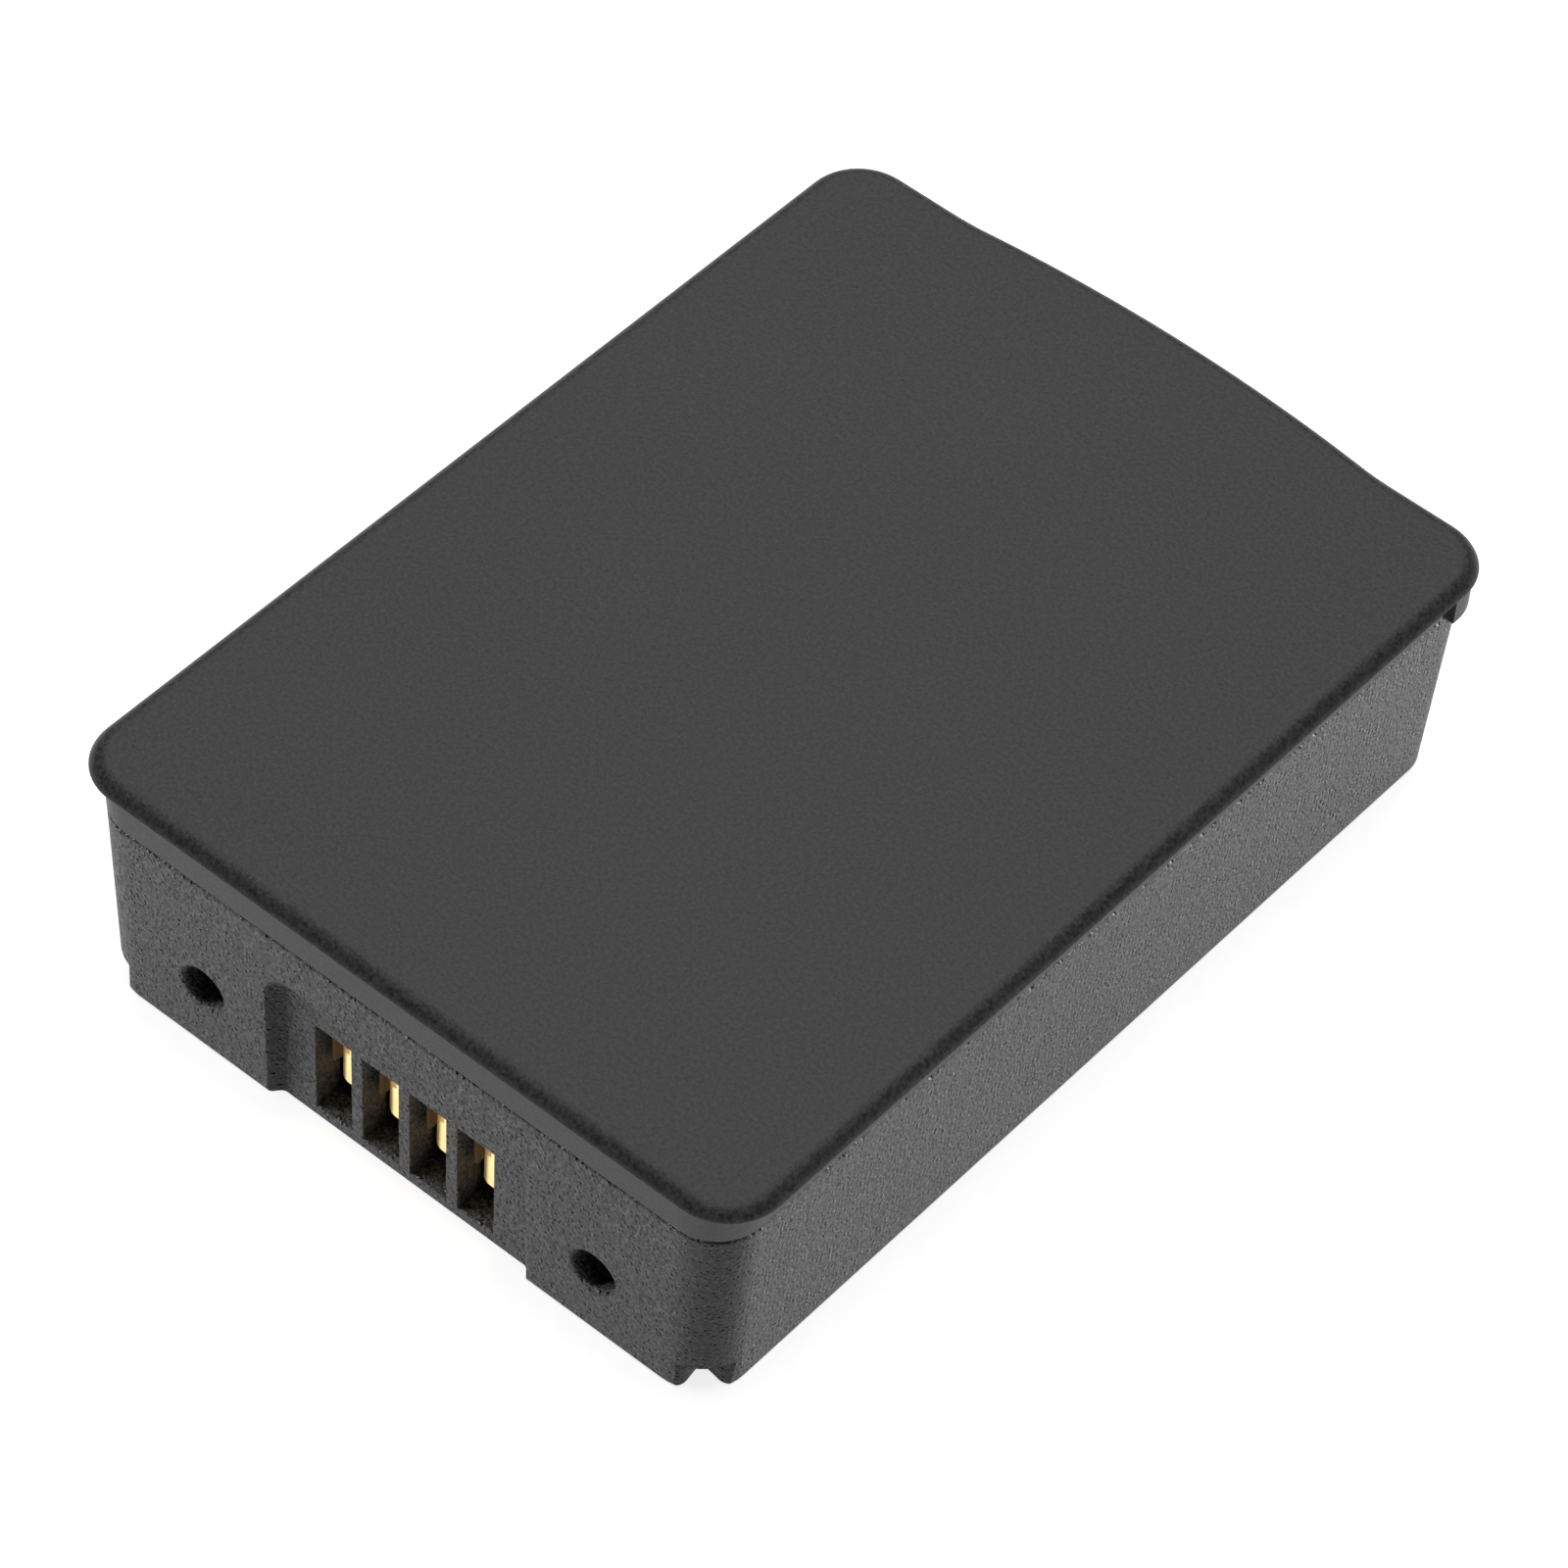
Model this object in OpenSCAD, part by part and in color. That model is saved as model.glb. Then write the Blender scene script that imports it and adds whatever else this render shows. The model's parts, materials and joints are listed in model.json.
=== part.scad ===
// Rechargeable pack for a wireless headset: a moulded case with a contact bay,
// a flat cover that overhangs it, and the cells, board and contacts inside.
// Millimetres. X runs across the pack, -Y is the contact end, Z is up from the flat base.

/* [Pack] */
// Length from the contact end to the straight part of the rear edge
pack_l = 70; // [66:0.5:78]
// Width over the rim of the cover
pack_w = 50.5; // [48:0.5:58]
// Height from the flat base to the top of the cover
pack_h = 18.2; // [18:0.1:24]
// Thickness of the moulded walls
wall = 1.4; // [1.2:0.1:1.6]

/* [Cover] */
// Radius of the cover's corners, seen from above
rim_corner_r = 3.8; // [3:0.1:5]
// Thickness of the overhanging rim
rim_t = 0.8; // [0.8:0.05:1.2]
// Radius of the rounded top edge
edge_r = 1.2; // [0.6:0.05:1.2]
// Angle that the top edge turns through before the rim's lower edge
edge_turn = 65; // [50:5:65]
// Thickness of the flat top
plate_t = 1.6; // [1.2:0.1:2]
// Depth of the skirt below the rim
skirt_h = 2.75; // [2:0.05:3.5]
// How far the rear edge bows out for a finger
bulge_h = 1.03; // [0.6:0.01:1.6]
// Radius of the bowed stretch
bulge_r = 120; // [90:5:160]
// Radius of the blends beside the bowed stretch
blend_r = 20; // [10:1:30]
// Inset of the rear lip from the rim
lip_inset = 0.4; // [0.2:0.05:0.5]
// Length of the side over which the rear lip stands proud
lip_l = 4; // [3.5:0.1:6]

/* [Case] */
// Inset of the contact end below the rim
front_inset = 0.52; // [0.4:0.01:0.8]
// Inset of the long sides below the rim
side_inset = 1.12; // [0.8:0.01:1.4]
// Inset of the rear wall below the rim
rear_inset = 0.7; // [0.5:0.01:1.2]
// Draft angle of the contact end
front_draft = 1.6; // [0.5:0.1:2.5]
// Draft angle of the long sides
side_draft = 2.5; // [0.5:0.1:3]
// Draft angle of the rear wall
rear_draft = 0.5; // [0.2:0.1:2]
// Corner radius at the contact end
front_corner_r = 3.3; // [2.6:0.1:4]
// Corner radius at the rear
rear_corner_r = 2.6; // [2:0.1:4]
// Radius of the bottom edges
base_edge_r = 0.3; // [0.1:0.05:0.5]
// Height of the dark line between case and cover
parting_gap = 0.15; // [0.1:0.05:0.3]
// Depth of the step that the cover's tongue sits on
tongue_h = 1.2; // [0.8:0.1:2]
// Thickness of the tongue
tongue_t = 0.6; // [0.5:0.05:0.7]
// Side of the notch under each front corner
notch_w = 2.6; // [2:0.1:3]
// Height of that notch
notch_h = 2; // [1.2:0.1:2.4]

/* [Contact bay] */
// Width of the bay at the face of the wall
bay_w = 19.8; // [18:0.1:22]
// Height of the bay above the base
bay_top = 11.1; // [10:0.1:12]
// Depth of the bay
bay_depth = 0.77; // [0.5:0.01:1]
// How far the bay's edges slope inwards
bay_slope = 0.5; // [0.2:0.05:0.8]
// Radius of the bay's upper corners
bay_corner_r = 1.3; // [1:0.1:2]
// Number of contact slots
slot_count = 4; // [4:1:4]
// Width of a slot
slot_w = 2.7; // [2.4:0.1:2.9]
// Height of a slot
slot_h = 7.4; // [6:0.1:8]
// Distance between neighbouring slots
slot_pitch = 3.64; // [3.5:0.01:4]
// Height of the slots' lower edge above the base
slot_sill = 0.75; // [0.5:0.05:1]
// Length of a slot from the bay to the contact
slot_l = 2.05; // [1.6:0.05:2.4]

/* [Locating sockets] */
// Diameter of a socket
socket_d = 3; // [2.5:0.1:3.5]
// Distance between the two sockets
socket_pitch = 30; // [28:0.1:32]
// Height of the sockets above the base
socket_z = 5.2; // [4.8:0.1:6]
// Depth of a socket
socket_depth = 5; // [3:0.1:6]
// Chamfer round the mouth
socket_chamfer = 0.2; // [0.1:0.05:0.4]

/* [Contacts] */
// Thickness of the contact sheet
contact_t = 0.3; // [0.2:0.05:0.4]
// How far the folded cheeks reach into the slot
cheek_l = 0.95; // [0.6:0.05:1.2]
// Height of the cheeks
cheek_h = 3.6; // [2.5:0.1:4]
// Height of the plate above the slot's lower edge
plate_sill = 0.9; // [0.5:0.1:1.5]
// Distance of the solder tail below the plate's top
tail_drop = 0.9; // [0.7:0.1:1]
// Width of the solder tail
tail_w = 1; // [0.8:0.1:1.4]
// Thickness of the moulded block behind the contacts
carrier_t = 2.5; // [2:0.1:3]

/* [Board] */
// Width of the protection board
board_w = 22.4; // [20:0.1:23]
// Height of the protection board
board_h = 11; // [10:0.1:12]
// Thickness of the board
board_t = 1; // [0.8:0.1:1.2]
// Height of the board above the inner floor
board_lift = 1.2; // [0.8:0.1:1.6]
// Space between the board and the insulating sheet
board_space = 2.2; // [2:0.1:3]

/* [Board parts] */
// Distance of the protection chip from the pack's middle
ic_x = 3.4; // [3:0.1:4]
// Height of the protection chip above the board's lower edge
ic_foot = 1.6; // [1.4:0.1:1.8]
// Width of the protection chip
ic_w = 1.6; // [1.4:0.1:1.8]
// Height of the protection chip
ic_h = 2.9; // [2.6:0.1:3]
// Thickness of the protection chip
ic_t = 1.1; // [0.8:0.1:1.2]
// Distance of the transistor pair from the pack's middle
mosfet_x = 1.2; // [1:0.1:1.4]
// Height of the transistor pair above the board's lower edge
mosfet_foot = 1.5; // [1.3:0.1:1.6]
// Width of the transistor pair
mosfet_w = 4.4; // [4:0.1:4.6]
// Height of the transistor pair
mosfet_h = 3; // [2.6:0.1:3]
// Thickness of the transistor pair
mosfet_t = 1; // [0.8:0.1:1.1]
// Height of the sense resistor above the board's lower edge
resistor_foot = 7.6; // [7.2:0.1:8]
// Width of the sense resistor
resistor_w = 5; // [4.5:0.1:5.2]
// Height of the sense resistor
resistor_h = 2.4; // [2:0.1:2.5]
// Thickness of the sense resistor
resistor_t = 0.6; // [0.4:0.1:0.8]
// Width of a capacitor
cap_w = 1.6; // [1.4:0.1:1.8]
// Height and thickness of a capacitor
cap_h = 0.8; // [0.6:0.1:0.9]
// Diameter of the thermistor's bead
bead_d = 1.6; // [1.2:0.1:1.8]
// Height of the bead above the board's lower edge
bead_foot = 8.8; // [8.4:0.1:9]
// Height of the thermal cut-off
cutoff_h = 3.2; // [2.8:0.1:3.4]

/* [Cells] */
// Free space between the cells and the walls
cell_gap = 0.3; // [0.2:0.05:0.6]
// Thickness of each adhesive sheet
tape_t = 0.3; // [0.2:0.05:0.4]
// Thickness of the foam pad under the cover
foam_t = 1.3; // [1:0.1:2]
// Radius of the cells' long edges
cell_edge_r = 1.2; // [0.6:0.1:2]
// Thickness of the insulating sheet in front of the cells
sheet_t = 0.3; // [0.2:0.05:0.4]
// Thickness of the nickel strips and cell tabs
strip_t = 0.2; // [0.15:0.05:0.25]
// Width of the nickel strips and cell tabs
strip_w = 4; // [3:0.1:4.5]
// Distance of the strips from the pack's middle
strip_x = 8.4; // [8:0.1:9]

/* [Hidden] */
$fn = 64;

// Clearance of one inner piece in another
fit_gap = 0.1;
// Clearance of a contact in its slot
contact_gap = 0.2;
// Overlap of a cutter past the face it opens
cut = 1;
// Segments in a quarter turn of a moulded corner
corner_steps = 10;

front_y = -(pack_l + bulge_h) / 2;
rear_y = front_y + pack_l;
rim_z = pack_h - rim_t;
skirt_z = rim_z - skirt_h;
case_h = skirt_z - parting_gap;
plate_z = pack_h - plate_t;
seat_z = case_h - tongue_h;
seat_inset = wall - tongue_t - fit_gap;

// Inner faces, from front to back. A cell's square rear corners stay clear of the rounded cavity.
slot_mid_z = slot_sill + slot_h / 2;
bay_floor_y = front_y + front_inset + (case_h - slot_mid_z) * tan(front_draft) + bay_depth;
contact_y = bay_floor_y + slot_l;
carrier_y = contact_y + contact_t;
board_y = carrier_y + carrier_t;
board_back_y = board_y + board_t;
sheet_y = board_back_y + board_space;
cell_y = sheet_y + sheet_t + cell_gap;
cavity_r = max(rear_corner_r - wall, 0.5);
corner_gap = cavity_r - sqrt(pow(cavity_r, 2) - pow(max(cavity_r - cell_gap, 0), 2));
cell_rear_y = rear_y - rear_inset - case_h * tan(rear_draft) - wall - cell_gap - corner_gap;
cell_side_x = pack_w / 2 - side_inset - case_h * tan(side_draft) - wall - cell_gap;
lower_cell_z = wall + tape_t;
cell_t = (plate_z - foam_t - wall - 2 * tape_t) / 2;
upper_cell_z = lower_cell_z + cell_t + tape_t;
foam_z = upper_cell_z + cell_t;
board_z = wall + board_lift;

// Contacts
contact_w = slot_w - 2 * contact_gap;
contact_z = slot_sill + plate_sill;
contact_top_z = slot_sill + slot_h + contact_gap;
tail_z = contact_top_z - tail_drop;
socket_wall = 1.3;
strip_y = sheet_y - 0.35 - strip_t;

black_textured = [0.33, 0.33, 0.34];
black_smooth = [0.28, 0.28, 0.29];
gold = [0.93, 0.74, 0.38];
nickel = [0.72, 0.71, 0.68];
board_green = [0.1, 0.32, 0.2];
chip_black = [0.12, 0.12, 0.13];

// Points of an arc round a centre, from one angle to another
function arc(x, y, r, from, to, steps) =
    [for (i = [0:steps]) let (a = from + (to - from) * i / steps) [x + r * cos(a), y + r * sin(a)]];

// Insets of the case's walls at a height, from the rim's outline
function front_in(z) = front_inset + (case_h - z) * tan(front_draft);
function side_in(z) = side_inset + (case_h - z) * tan(side_draft);
function rear_in(z) = rear_inset + (case_h - z) * tan(rear_draft);

// Outline of the case at a height, d further in
function case_outline(z, d) =
    let (x = pack_w / 2 - side_in(z) - d, y0 = front_y + front_in(z) + d,
         y1 = rear_y - rear_in(z) - d, rf = max(front_corner_r - d, 0.5),
         rr = max(rear_corner_r - d, 0.5))
    concat(arc(x - rf, y0 + rf, rf, -90, 0, corner_steps),
           arc(x - rr, y1 - rr, rr, 0, 90, corner_steps),
           arc(rr - x, y1 - rr, rr, 90, 180, corner_steps),
           arc(rf - x, y0 + rf, rf, 180, 270, corner_steps));

// Outline of the cover, d further in, with the bowed finger edge at the rear
function cover_outline(d) =
    let (x = pack_w / 2 - rim_corner_r, y0 = front_y + rim_corner_r, y1 = rear_y - rim_corner_r,
         r = rim_corner_r - d, reach = bulge_r + blend_r,
         turn = acos((reach - bulge_h) / reach), blend_x = reach * sin(turn))
    concat(arc(x, y0, r, -90, 0, corner_steps),
           arc(x, y1, r, 0, 90, corner_steps),
           arc(blend_x, rear_y + blend_r, blend_r + d, -90, -90 - turn, 6),
           arc(0, rear_y + bulge_h - bulge_r, bulge_r - d, 90 - turn, 90 + turn, 16),
           arc(-blend_x, rear_y + blend_r, blend_r + d, -90 + turn, -90, 6),
           arc(-x, y1, r, 90, 180, corner_steps),
           arc(-x, y0, r, 180, 270, corner_steps));

// Outline of the contact bay in X and Z, d further in, open through the base
function bay_outline(d) =
    let (x = bay_w / 2 - d, r = bay_corner_r)
    concat([[-x, -cut], [x, -cut]],
           arc(x - r, bay_top - d - r, r, 0, 90, corner_steps),
           arc(r - x, bay_top - d - r, r, 90, 180, corner_steps));

function at_height(points, z) = [for (p = points) [p[0], p[1], z]];

// The bay's outline laid on the drafted wall, behind its face by a depth
function on_front(points, depth) =
    [for (p = points) [p[0], front_y + front_in(p[1]) + depth, p[1]]];

// Solid through a stack of outlines that all have the same number of points
module loft(rings) {
    n = len(rings[0]);
    last = len(rings) - 1;
    polyhedron(
        points = [for (ring = rings) each ring],
        faces = concat(
            [[for (i = [0:n - 1]) i]],
            [for (k = [0:last - 1], i = [0:n - 1]) let (j = (i + 1) % n)
                each [[k * n + i, (k + 1) * n + i, (k + 1) * n + j],
                      [k * n + i, (k + 1) * n + j, k * n + j]]],
            [[for (i = [n - 1:-1:0]) last * n + i]]));
}

// Drafted block between two heights, d inside the case's faces
module case_block(z0, z1, d) {
    loft([at_height(case_outline(z0, d), z0), at_height(case_outline(z1, d), z1)]);
}

// Block given by its middle in X, its front face and its foot
module slab(x, y, z, w, l, h) {
    translate([x - w / 2, y, z]) cube([w, l, h]);
}

module each_slot() {
    for (i = [0:slot_count - 1]) {
        translate([(i - (slot_count - 1) / 2) * slot_pitch, 0, 0]) children();
    }
}

module each_socket() {
    for (side = [-1, 1]) translate([side * socket_pitch / 2, 0, 0]) children();
}

// Case

module case_shell() {
    difference() {
        loft(concat(
            [for (a = [0:30:90]) let (z = base_edge_r * (1 - cos(a)))
                at_height(case_outline(z, base_edge_r * (1 - sin(a))), z)],
            [at_height(case_outline(case_h, 0), case_h)]));
        loft([for (level = [[wall, wall], [seat_z, wall], [seat_z, seat_inset], [case_h + cut, seat_inset]])
            at_height(case_outline(level[0], level[1]), level[0])]);
    }
}

// Raised floor in the front corners, over the notches
module corner_pads() {
    pad_w = notch_w + 2 * wall;
    pad_y = front_y + front_in(0);
    intersection() {
        case_block(0.2 * wall, notch_h + wall, 0.5 * wall);
        for (side = [-1, 1]) {
            slab(side * (pack_w / 2 - side_in(0) - pad_w / 2), pad_y, 0, pad_w, pad_w, notch_h + wall);
        }
    }
}

// Thick part of the front wall that carries the slots
module slot_block() {
    y0 = front_y + front_in(case_h) + wall / 2;
    slab(0, y0, wall / 2, bay_w + 2 * wall, contact_y - y0, bay_top + wall - wall / 2);
}

// Blind tube behind each socket, with a web down to the floor
module socket_tubes() {
    y0 = front_y + front_in(socket_z) + wall / 2;
    l = socket_depth - wall / 2 + socket_wall;
    each_socket() {
        translate([0, y0, socket_z]) rotate([-90, 0, 0]) cylinder(h = l, d = socket_d + 2 * socket_wall);
        slab(0, y0, wall / 2, wall, l, socket_z - wall / 2);
    }
}

// Two low ribs that keep the cells off the board
module cell_stops() {
    rib_w = 5;
    rib_h = 4;
    for (side = [-1, 1]) {
        slab(side * (cell_side_x - rib_w / 2 - 1), sheet_y - wall, wall / 2, rib_w, wall, rib_h);
    }
}

module socket_bores() {
    face_y = front_y + front_in(socket_z);
    each_socket() translate([0, face_y, socket_z]) rotate([-90, 0, 0]) {
        translate([0, 0, -cut]) cylinder(h = socket_depth + cut, d = socket_d);
        translate([0, 0, -socket_chamfer]) cylinder(h = 2 * socket_chamfer,
            r1 = socket_d / 2 + 2 * socket_chamfer, r2 = socket_d / 2);
    }
}

module bay_pocket() {
    loft([on_front(bay_outline(bay_slope), bay_depth), on_front(bay_outline(-bay_slope), -bay_depth)]);
}

module slots() {
    each_slot() slab(0, bay_floor_y - cut, slot_sill, slot_w, slot_l + cut + contact_t, slot_h);
}

// Step cut under each front corner, rounded where its sides meet the walls
module corner_notches() {
    x = pack_w / 2 - side_in(0);
    y = front_y + front_in(0);
    lobe_r = 0.8;
    root_r = 0.9;
    for (side = [0, 1]) mirror([side, 0, 0]) translate([x, y, -cut]) linear_extrude(notch_h + cut) {
        translate([-notch_w, -cut]) square([notch_w + cut, notch_w + cut - root_r]);
        translate([root_r - notch_w, -cut]) square([notch_w + cut - root_r, notch_w + cut]);
        translate([root_r - notch_w, notch_w - root_r]) circle(root_r);
        difference() {
            translate([-notch_w - lobe_r, -cut]) square([lobe_r + 0.01, cut + lobe_r]);
            translate([-notch_w - lobe_r, lobe_r]) circle(lobe_r);
        }
        difference() {
            translate([-lobe_r, notch_w - 0.01]) square([lobe_r + cut, lobe_r + 0.01]);
            translate([-lobe_r, notch_w + lobe_r]) circle(lobe_r);
        }
    }
}

module case() {
    color(black_textured) difference() {
        union() {
            case_shell();
            corner_pads();
            slot_block();
            socket_tubes();
            cell_stops();
        }
        bay_pocket();
        slots();
        socket_bores();
        corner_notches();
    }
}

// Cover

// Rim with a rounded top edge and a slightly broken lower edge
module cover_plate() {
    break_r = 0.08;
    steps = 8;
    loft(concat(
        [at_height(cover_outline(break_r), rim_z), at_height(cover_outline(0), rim_z + break_r)],
        [for (i = [0:steps]) let (a = edge_turn * (1 - i / steps))
            at_height(cover_outline(edge_r * (sin(edge_turn) - sin(a))), pack_h - edge_r * (1 - cos(a)))]));
}

// Rear lip under the bowed edge and round both rear corners
module rear_lip() {
    translate([0, 0, skirt_z]) linear_extrude(rim_z + rim_t / 2 - skirt_z) intersection() {
        polygon(cover_outline(lip_inset));
        translate([-pack_w, rear_y - lip_l]) square([2 * pack_w, lip_l + bulge_h + cut]);
    }
}

module cover() {
    color(black_smooth) difference() {
        union() {
            cover_plate();
            case_block(skirt_z, rim_z + rim_t / 2, 0);
            case_block(seat_z, skirt_z + skirt_h / 2, wall - tongue_t);
            rear_lip();
        }
        case_block(seat_z - cut, plate_z, wall);
    }
}

// Contacts and their carrier

// Gold plated pad with two cheeks folded forward and a tail for the board
module contact() {
    foot_r = 0.5;
    plate_h = contact_top_z - contact_z;
    color(gold) {
        translate([0, carrier_y, 0]) rotate([90, 0, 0]) linear_extrude(contact_t) {
            translate([-contact_w / 2, contact_z + foot_r]) square([contact_w, plate_h - foot_r]);
            translate([foot_r - contact_w / 2, contact_z]) square([contact_w - 2 * foot_r, 2 * foot_r]);
            for (side = [-1, 1]) {
                translate([side * (contact_w / 2 - foot_r), contact_z + foot_r]) circle(foot_r);
            }
        }
        for (side = [-1, 1]) {
            slab(side * (contact_w - contact_t) / 2, contact_y - cheek_l,
                 slot_sill + slot_h - contact_gap - cheek_h, contact_t, cheek_l + contact_t / 2, cheek_h);
        }
        slab(0, contact_y + contact_t / 2, tail_z, tail_w, contact_t / 2 + carrier_t + board_t, contact_t);
    }
}

module contact_at(i) {
    translate([(i - (slot_count - 1) / 2) * slot_pitch, 0, 0]) contact();
}

module contact_positive() { contact_at(0); }
module contact_data() { contact_at(1); }
module contact_temperature() { contact_at(2); }
module contact_negative() { contact_at(3); }

// Openings for the four tails
module tail_holes(y, l) {
    each_slot() slab(0, y, tail_z - fit_gap, tail_w + 2 * fit_gap, l, contact_t + 2 * fit_gap);
}

module contact_carrier() {
    w = (slot_count - 1) * slot_pitch + slot_w + 2;
    color(chip_black) difference() {
        slab(0, carrier_y, wall, w, carrier_t, contact_top_z + 1 - wall);
        tail_holes(carrier_y - cut, carrier_t + 2 * cut);
    }
}

// Board and its parts

module protection_board() {
    color(board_green) difference() {
        slab(0, board_y, board_z, board_w, board_t, board_h);
        tail_holes(board_y - cut, board_t + 2 * cut);
    }
}

// Chip on the board's rear face, given by its middle in X and its foot above the board's edge
module chip(x, z, w, h, t) {
    slab(x, board_back_y, board_z + z, w, t, h);
}

// Legs that reach past a chip on both sides, spread over its height
module legs(x, z, w, h, count, leg_w, leg_t) {
    reach = 0.6;
    for (i = [0:count - 1]) {
        chip(x, z + h * (i + 0.5) / count - leg_w / 2, w + 2 * reach, leg_w, leg_t);
    }
}

module protection_ic() {
    color(chip_black) {
        chip(-ic_x, ic_foot, ic_w, ic_h, ic_t);
        legs(-ic_x, ic_foot, ic_w, ic_h, 3, 0.4, 0.3);
    }
}

module mosfet_pair() {
    color(chip_black) {
        chip(mosfet_x, mosfet_foot, mosfet_w, mosfet_h, mosfet_t);
        legs(mosfet_x, mosfet_foot, mosfet_w, mosfet_h, 4, 0.3, 0.25);
    }
}

module sense_resistor() {
    color(chip_black) chip(mosfet_x / 2, resistor_foot, resistor_w, resistor_h, resistor_t);
}

// One capacitor above the protection chip and one below each chip
module board_capacitors() {
    space = 0.6;
    color([0.6, 0.5, 0.38]) {
        chip(-ic_x, ic_foot + ic_h + space, cap_w, cap_h, cap_h);
        chip(-ic_x, ic_foot - cap_h - space / 2, cap_w, cap_h, cap_h);
        chip(mosfet_x, mosfet_foot - cap_h - space / 2, cap_w, cap_h, cap_h);
    }
}

// Bead between the board and the insulating sheet, on two leads
module thermistor() {
    bead_y = sheet_y - bead_d / 2 - fit_gap;
    color([0.75, 0.72, 0.65]) translate([-ic_x, 0, board_z + bead_foot]) {
        translate([0, bead_y, 0]) sphere(d = bead_d);
        for (side = [-1, 1]) translate([side * bead_d / 4, board_back_y, 0]) rotate([-90, 0, 0])
            cylinder(h = bead_y - board_back_y, d = bead_d / 5);
    }
}

// Strips, cut-off and cells

tab_z = [lower_cell_z + cell_t / 2, upper_cell_z + cell_t / 2];
strip_foot_z = tab_z[0] - 1;

// Upright nickel strip that joins both cell tabs, with a leaf to the board
module strip(x) {
    color(nickel) {
        slab(x, strip_y, strip_foot_z, strip_w, strip_t, tab_z[1] + 1 - strip_foot_z);
        slab(x, board_back_y, tab_z[1] + 0.6, strip_w, strip_y - board_back_y + strip_t / 2, strip_t);
    }
}

module positive_strip() { strip(-strip_x); }
module negative_strip() { strip(strip_x); }

module thermal_cutoff() {
    t = strip_y - board_back_y;
    color([0.2, 0.2, 0.22]) {
        slab(-strip_x, board_back_y, tab_z[0] + strip_t, strip_w, t, cutoff_h);
    }
}

// Flat cell: a body with rounded long edges and two tabs at its front
module cell(z) {
    l = cell_rear_y - cell_y;
    r = min(cell_edge_r, cell_t / 2 - 0.2);
    color([0.62, 0.64, 0.66]) translate([0, cell_y + l, z]) rotate([90, 0, 0]) linear_extrude(l) {
        translate([-cell_side_x, r]) square([2 * cell_side_x, cell_t - 2 * r]);
        translate([r - cell_side_x, 0]) square([2 * (cell_side_x - r), cell_t]);
        for (sx = [-1, 1], sz = [r, cell_t - r]) translate([sx * (cell_side_x - r), sz]) circle(r);
    }
    for (side = [-1, 1]) color(nickel) {
        slab(side * strip_x, strip_y + strip_t, z + cell_t / 2 - strip_t / 2, strip_w - 1,
             cell_y - strip_y - strip_t / 2, strip_t);
    }
}

module lower_cell() { cell(lower_cell_z); }
module upper_cell() { cell(upper_cell_z); }

module end_insulator() {
    slit = strip_t + 2 * fit_gap;
    color([0.88, 0.86, 0.8]) difference() {
        slab(0, sheet_y, wall, 2 * cell_side_x, sheet_t, foam_z - wall);
        for (side = [-1, 1], z = tab_z) {
            slab(side * strip_x, sheet_y - cut, z - slit / 2, strip_w, sheet_t + 2 * cut, slit);
        }
    }
}

// Sheet as long and wide as the flat of a cell
module cell_sheet(z, t) {
    margin = cell_edge_r + 0.5;
    slab(0, cell_y + margin, z, 2 * (cell_side_x - margin), cell_rear_y - cell_y - 2 * margin, t);
}

module lower_adhesive() {
    color([0.85, 0.84, 0.8]) cell_sheet(wall, tape_t);
}

module middle_adhesive() {
    color([0.85, 0.84, 0.8]) cell_sheet(lower_cell_z + cell_t, tape_t);
}

module foam_pad() {
    color([0.25, 0.25, 0.26]) cell_sheet(foam_z, foam_t);
}

case();
cover();
contact_positive();
contact_data();
contact_temperature();
contact_negative();
contact_carrier();
protection_board();
protection_ic();
mosfet_pair();
sense_resistor();
board_capacitors();
thermistor();
thermal_cutoff();
positive_strip();
negative_strip();
lower_cell();
upper_cell();
end_insulator();
lower_adhesive();
middle_adhesive();
foam_pad();
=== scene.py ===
import bpy
import json
import math
from mathutils import Matrix, Vector

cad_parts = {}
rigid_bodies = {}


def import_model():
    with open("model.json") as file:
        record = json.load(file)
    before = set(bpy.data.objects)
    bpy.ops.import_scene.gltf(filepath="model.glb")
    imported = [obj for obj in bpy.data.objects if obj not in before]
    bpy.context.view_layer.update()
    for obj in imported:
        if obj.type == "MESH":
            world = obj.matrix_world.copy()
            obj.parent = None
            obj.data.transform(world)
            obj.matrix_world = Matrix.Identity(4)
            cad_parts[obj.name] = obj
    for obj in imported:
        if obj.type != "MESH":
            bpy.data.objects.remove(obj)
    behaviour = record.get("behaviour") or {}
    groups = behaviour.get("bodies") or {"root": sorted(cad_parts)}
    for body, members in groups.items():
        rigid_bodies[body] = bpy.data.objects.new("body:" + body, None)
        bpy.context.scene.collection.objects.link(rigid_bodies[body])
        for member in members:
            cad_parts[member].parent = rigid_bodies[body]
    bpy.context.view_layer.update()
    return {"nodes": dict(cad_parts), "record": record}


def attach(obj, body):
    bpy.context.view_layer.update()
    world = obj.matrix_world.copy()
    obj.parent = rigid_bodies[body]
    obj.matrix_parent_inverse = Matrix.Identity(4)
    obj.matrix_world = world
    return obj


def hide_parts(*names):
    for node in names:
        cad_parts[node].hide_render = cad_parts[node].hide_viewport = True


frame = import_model()
mm = 0.001
print("frame loaded")


# small helpers

def deselectAll():
    if bpy.context.object and bpy.context.object.mode != "OBJECT":
        bpy.ops.object.mode_set(mode="OBJECT")
    for other in bpy.context.scene.objects:
        other.select_set(False)


def pick(piece):
    deselectAll()
    piece.select_set(True)
    bpy.context.view_layer.objects.active = piece


def applyModifiers(piece):
    pick(piece)
    for modifier in list(piece.modifiers):
        bpy.ops.object.modifier_apply(modifier=modifier.name)


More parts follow.
